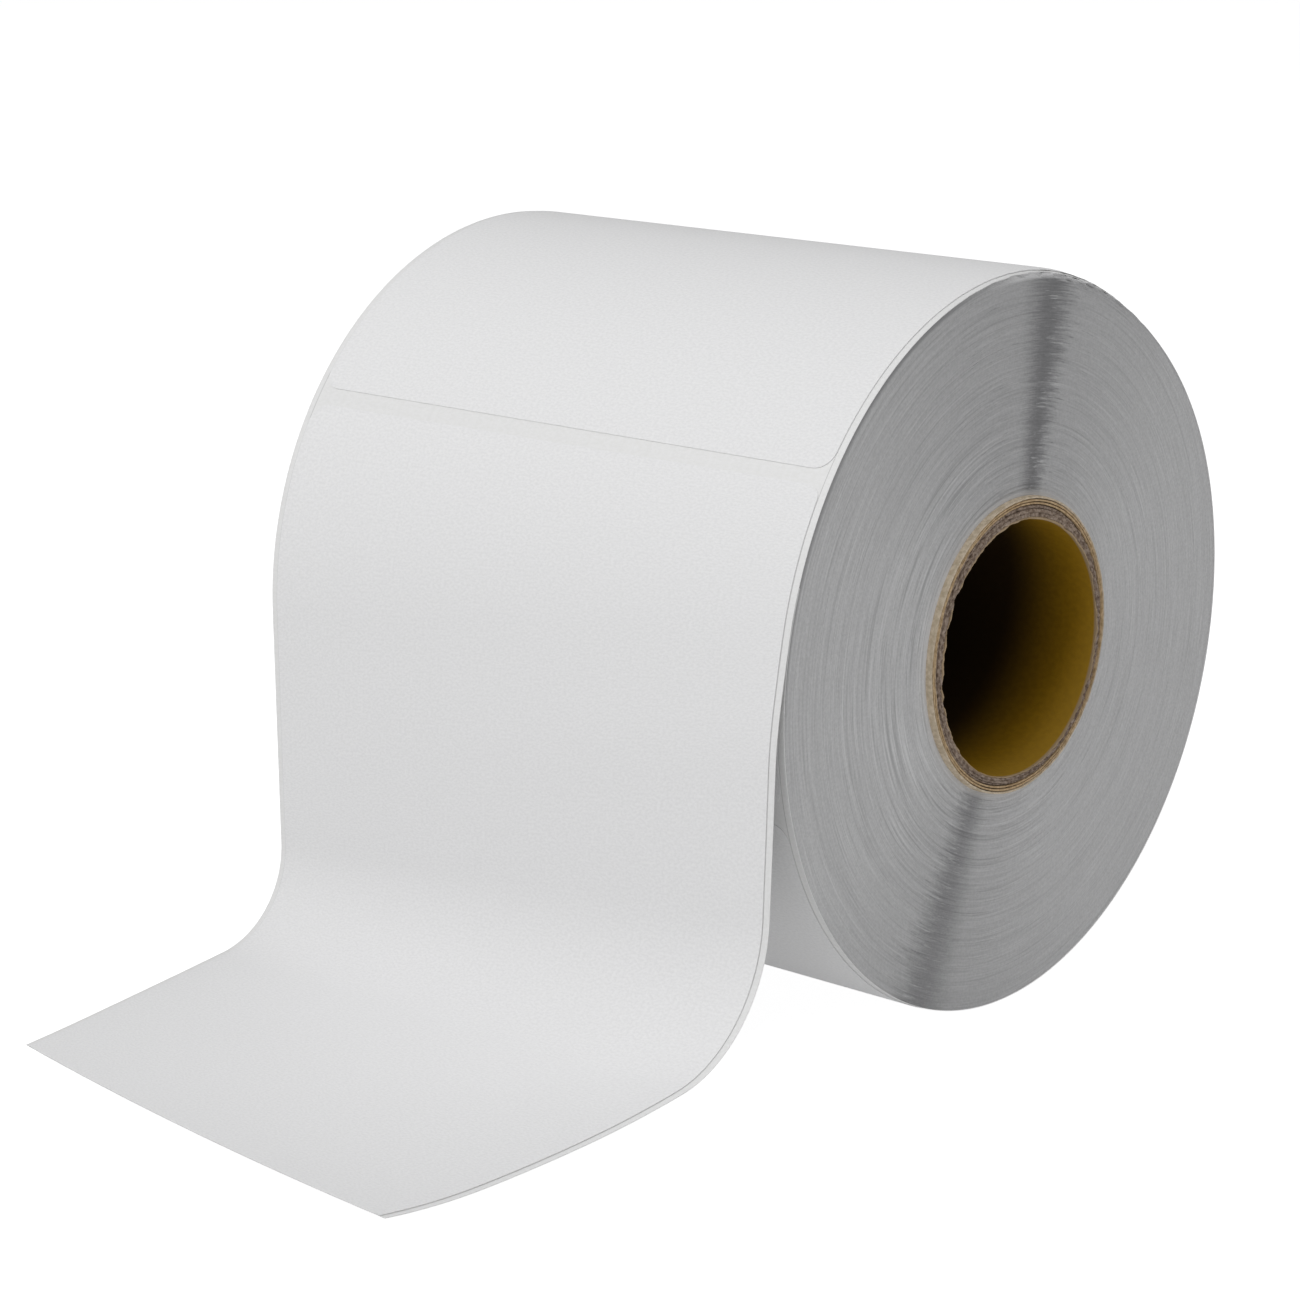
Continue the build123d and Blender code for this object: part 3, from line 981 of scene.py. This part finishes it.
for number, (node, finish, set_back, tear, tear_size, rim, slot) in enumerate(PLIES):
    ring = make_ring(
        node.replace("ply", "paper"), inner_radius=inner_reach(node), outer_radius=reach(node),
        half_width=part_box(node)[1].x - set_back * MM, ridges=5, segments=720, step=0.06 * MM,
        drift=0.3 * MM, drift_size=9 * MM, tear=tear * MM, tear_size=tear_size * MM,
        round=rim * MM, seed=number + 20, finish=finish)
    slump(ring)
    for polygon in ring.data.polygons:
        polygon.use_smooth = abs(polygon.normal.x) > 0.3
    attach(ring, "roll")
    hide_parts(node)
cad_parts["core_start_tape"].data.materials.clear()
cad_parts["core_start_tape"].data.materials.append(kraft_tape)

# %% [markdown]
# ## Labels and liner on the roll
# On the roll the outer turn is one long sheet of liner with three labels on it: one that ends at the
# gap in front, one at the back, and the start of the next one, which dives under the outer turn.
# Each label's corners are round, and its back, which lies on the liner, has the adhesive's finish.

# %% Labels and liner on the roll
front_top = 34.5 * MM
label_gap = 3.0 * MM
label_length = 152.4 * MM
turn_length = math.pi * (2 * roll_radius - web_thick / 2)
hidden_end = turn_length + HIDDEN_RUN
ROW_STEP = 1.5 * MM


def label_rows(start, end, round_start, round_end):
    """Rows of a label on the roll, with round corners at the ends asked for."""
    rows = corner_rows(start, 1) if round_start else [(start, 0.0)]
    first = rows[-1][0]
    tail = list(reversed(corner_rows(end, -1))) if round_end else [(end, 0.0)]
    last = tail[0][0]
    return rows[:-1] + [(along, 0.0) for along in spaced(first, last, ROW_STEP)] + tail[1:]


print(f"outer turn {turn_length / MM:.1f} mm long")
for number, name in enumerate(["top_label", "rear_label", "under_label"]):
    start = front_top + label_gap + number * (label_length + label_gap)
    end = start + label_length if name != "under_label" else hidden_end
    piece = build_sheet(name.replace("label", "label_paper"),
                        label_rows(start, end, True, name != "under_label"), label_half,
                        label_low, web_thick, label_paper, adhesive_back)
    settle(piece)
    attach(piece, "roll")
    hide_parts(name)

liner_join = front_top + label_gap / 2
rows = [(s, 0.0) for s in spaced(liner_join, hidden_end, ROW_STEP)]
piece = build_sheet("outer_turn_liner_paper", rows, liner_half, 0.0, liner_thick, liner_glassine)
settle(piece)
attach(piece, "roll")
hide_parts("outer_turn_liner")

# %% [markdown]
# ## The free end
# The free end hangs off the roll and lies on the table. It moves: it lifts as a whole, its foot bends,
# and the label's tip peels off the liner. The label is cut into three stretches and the liner into
# two, at fixed stations of the free end.

# %% The free end
SPLIT = -0.8
STATION_STEP = 1 / 24


def stations(start, end):
    """Rows of a stretch of the free end."""
    return [(s, 0.0) for s in spaced(start, end, STATION_STEP)]


def free_sheet(name, rows, half_width, shape=web_point):
    """A stretch of the free end's label or liner."""
    if half_width == label_half:
        low, high, finish, back = label_low, web_thick, label_paper, adhesive_back
    else:
        low, high, finish, back = 0.0, liner_thick, liner_glassine, None
    piece = build_sheet(name, rows, half_width, low, high, finish, back, shape)
    places = [shape(row[0], 0, 0) for row in rows]
    return piece


front_rows = list(reversed(label_rows(0.0, front_top, False, True)))
front_rows += stations(0, SPLIT)[1:]
upper_label = free_sheet("front_label_upper", front_rows, label_half, front_point)
bend_label = free_sheet("front_label_bend", stations(SPLIT, PEEL_STATION), label_half)
lead_label = free_sheet("front_label_tip", stations(PEEL_STATION, CUT_STATION), label_half)
upper_rows = [(s, 0.0) for s in spaced(liner_join, 0.0, ROW_STEP)] + stations(0, SPLIT)[1:]
upper_liner = free_sheet("tail_liner_upper", upper_rows, liner_half, front_point)
lower_liner = free_sheet("tail_liner_lower", stations(SPLIT, CUT_STATION), liner_half)

# %% [markdown]
# ## The free end's sheets
# Each stretch's points are baked into the room's frame, and the imported pieces that it stands for
# are hidden.

# %% Free end sheets baked in place
LIFT_STARTS = 6 * MM
TURN_RUN = 0.3

for piece, nodes in ((upper_label, ("front_label_on_roll", "front_label_drop")),
                     (upper_liner, ("tail_liner_drop",))):
    web_point(LIFT_STARTS, 0, 0)
    web_point(-TURN_RUN, 0, 0)
    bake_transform(piece)
    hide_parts(*nodes)
for piece, nodes in ((bend_label, ("front_label_foot",)), (lower_liner, ("tail_liner_foot",))):
    web_point(-1.0, 0, 0)
    web_point(-2.0, 0, 0)
    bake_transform(piece)
    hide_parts(*nodes)
web_point(PEEL_STATION, 0, 0)
web_point(PEEL_STATION - TURN_RUN, 0, 0)
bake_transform(lead_label)
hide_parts("front_label_lead")
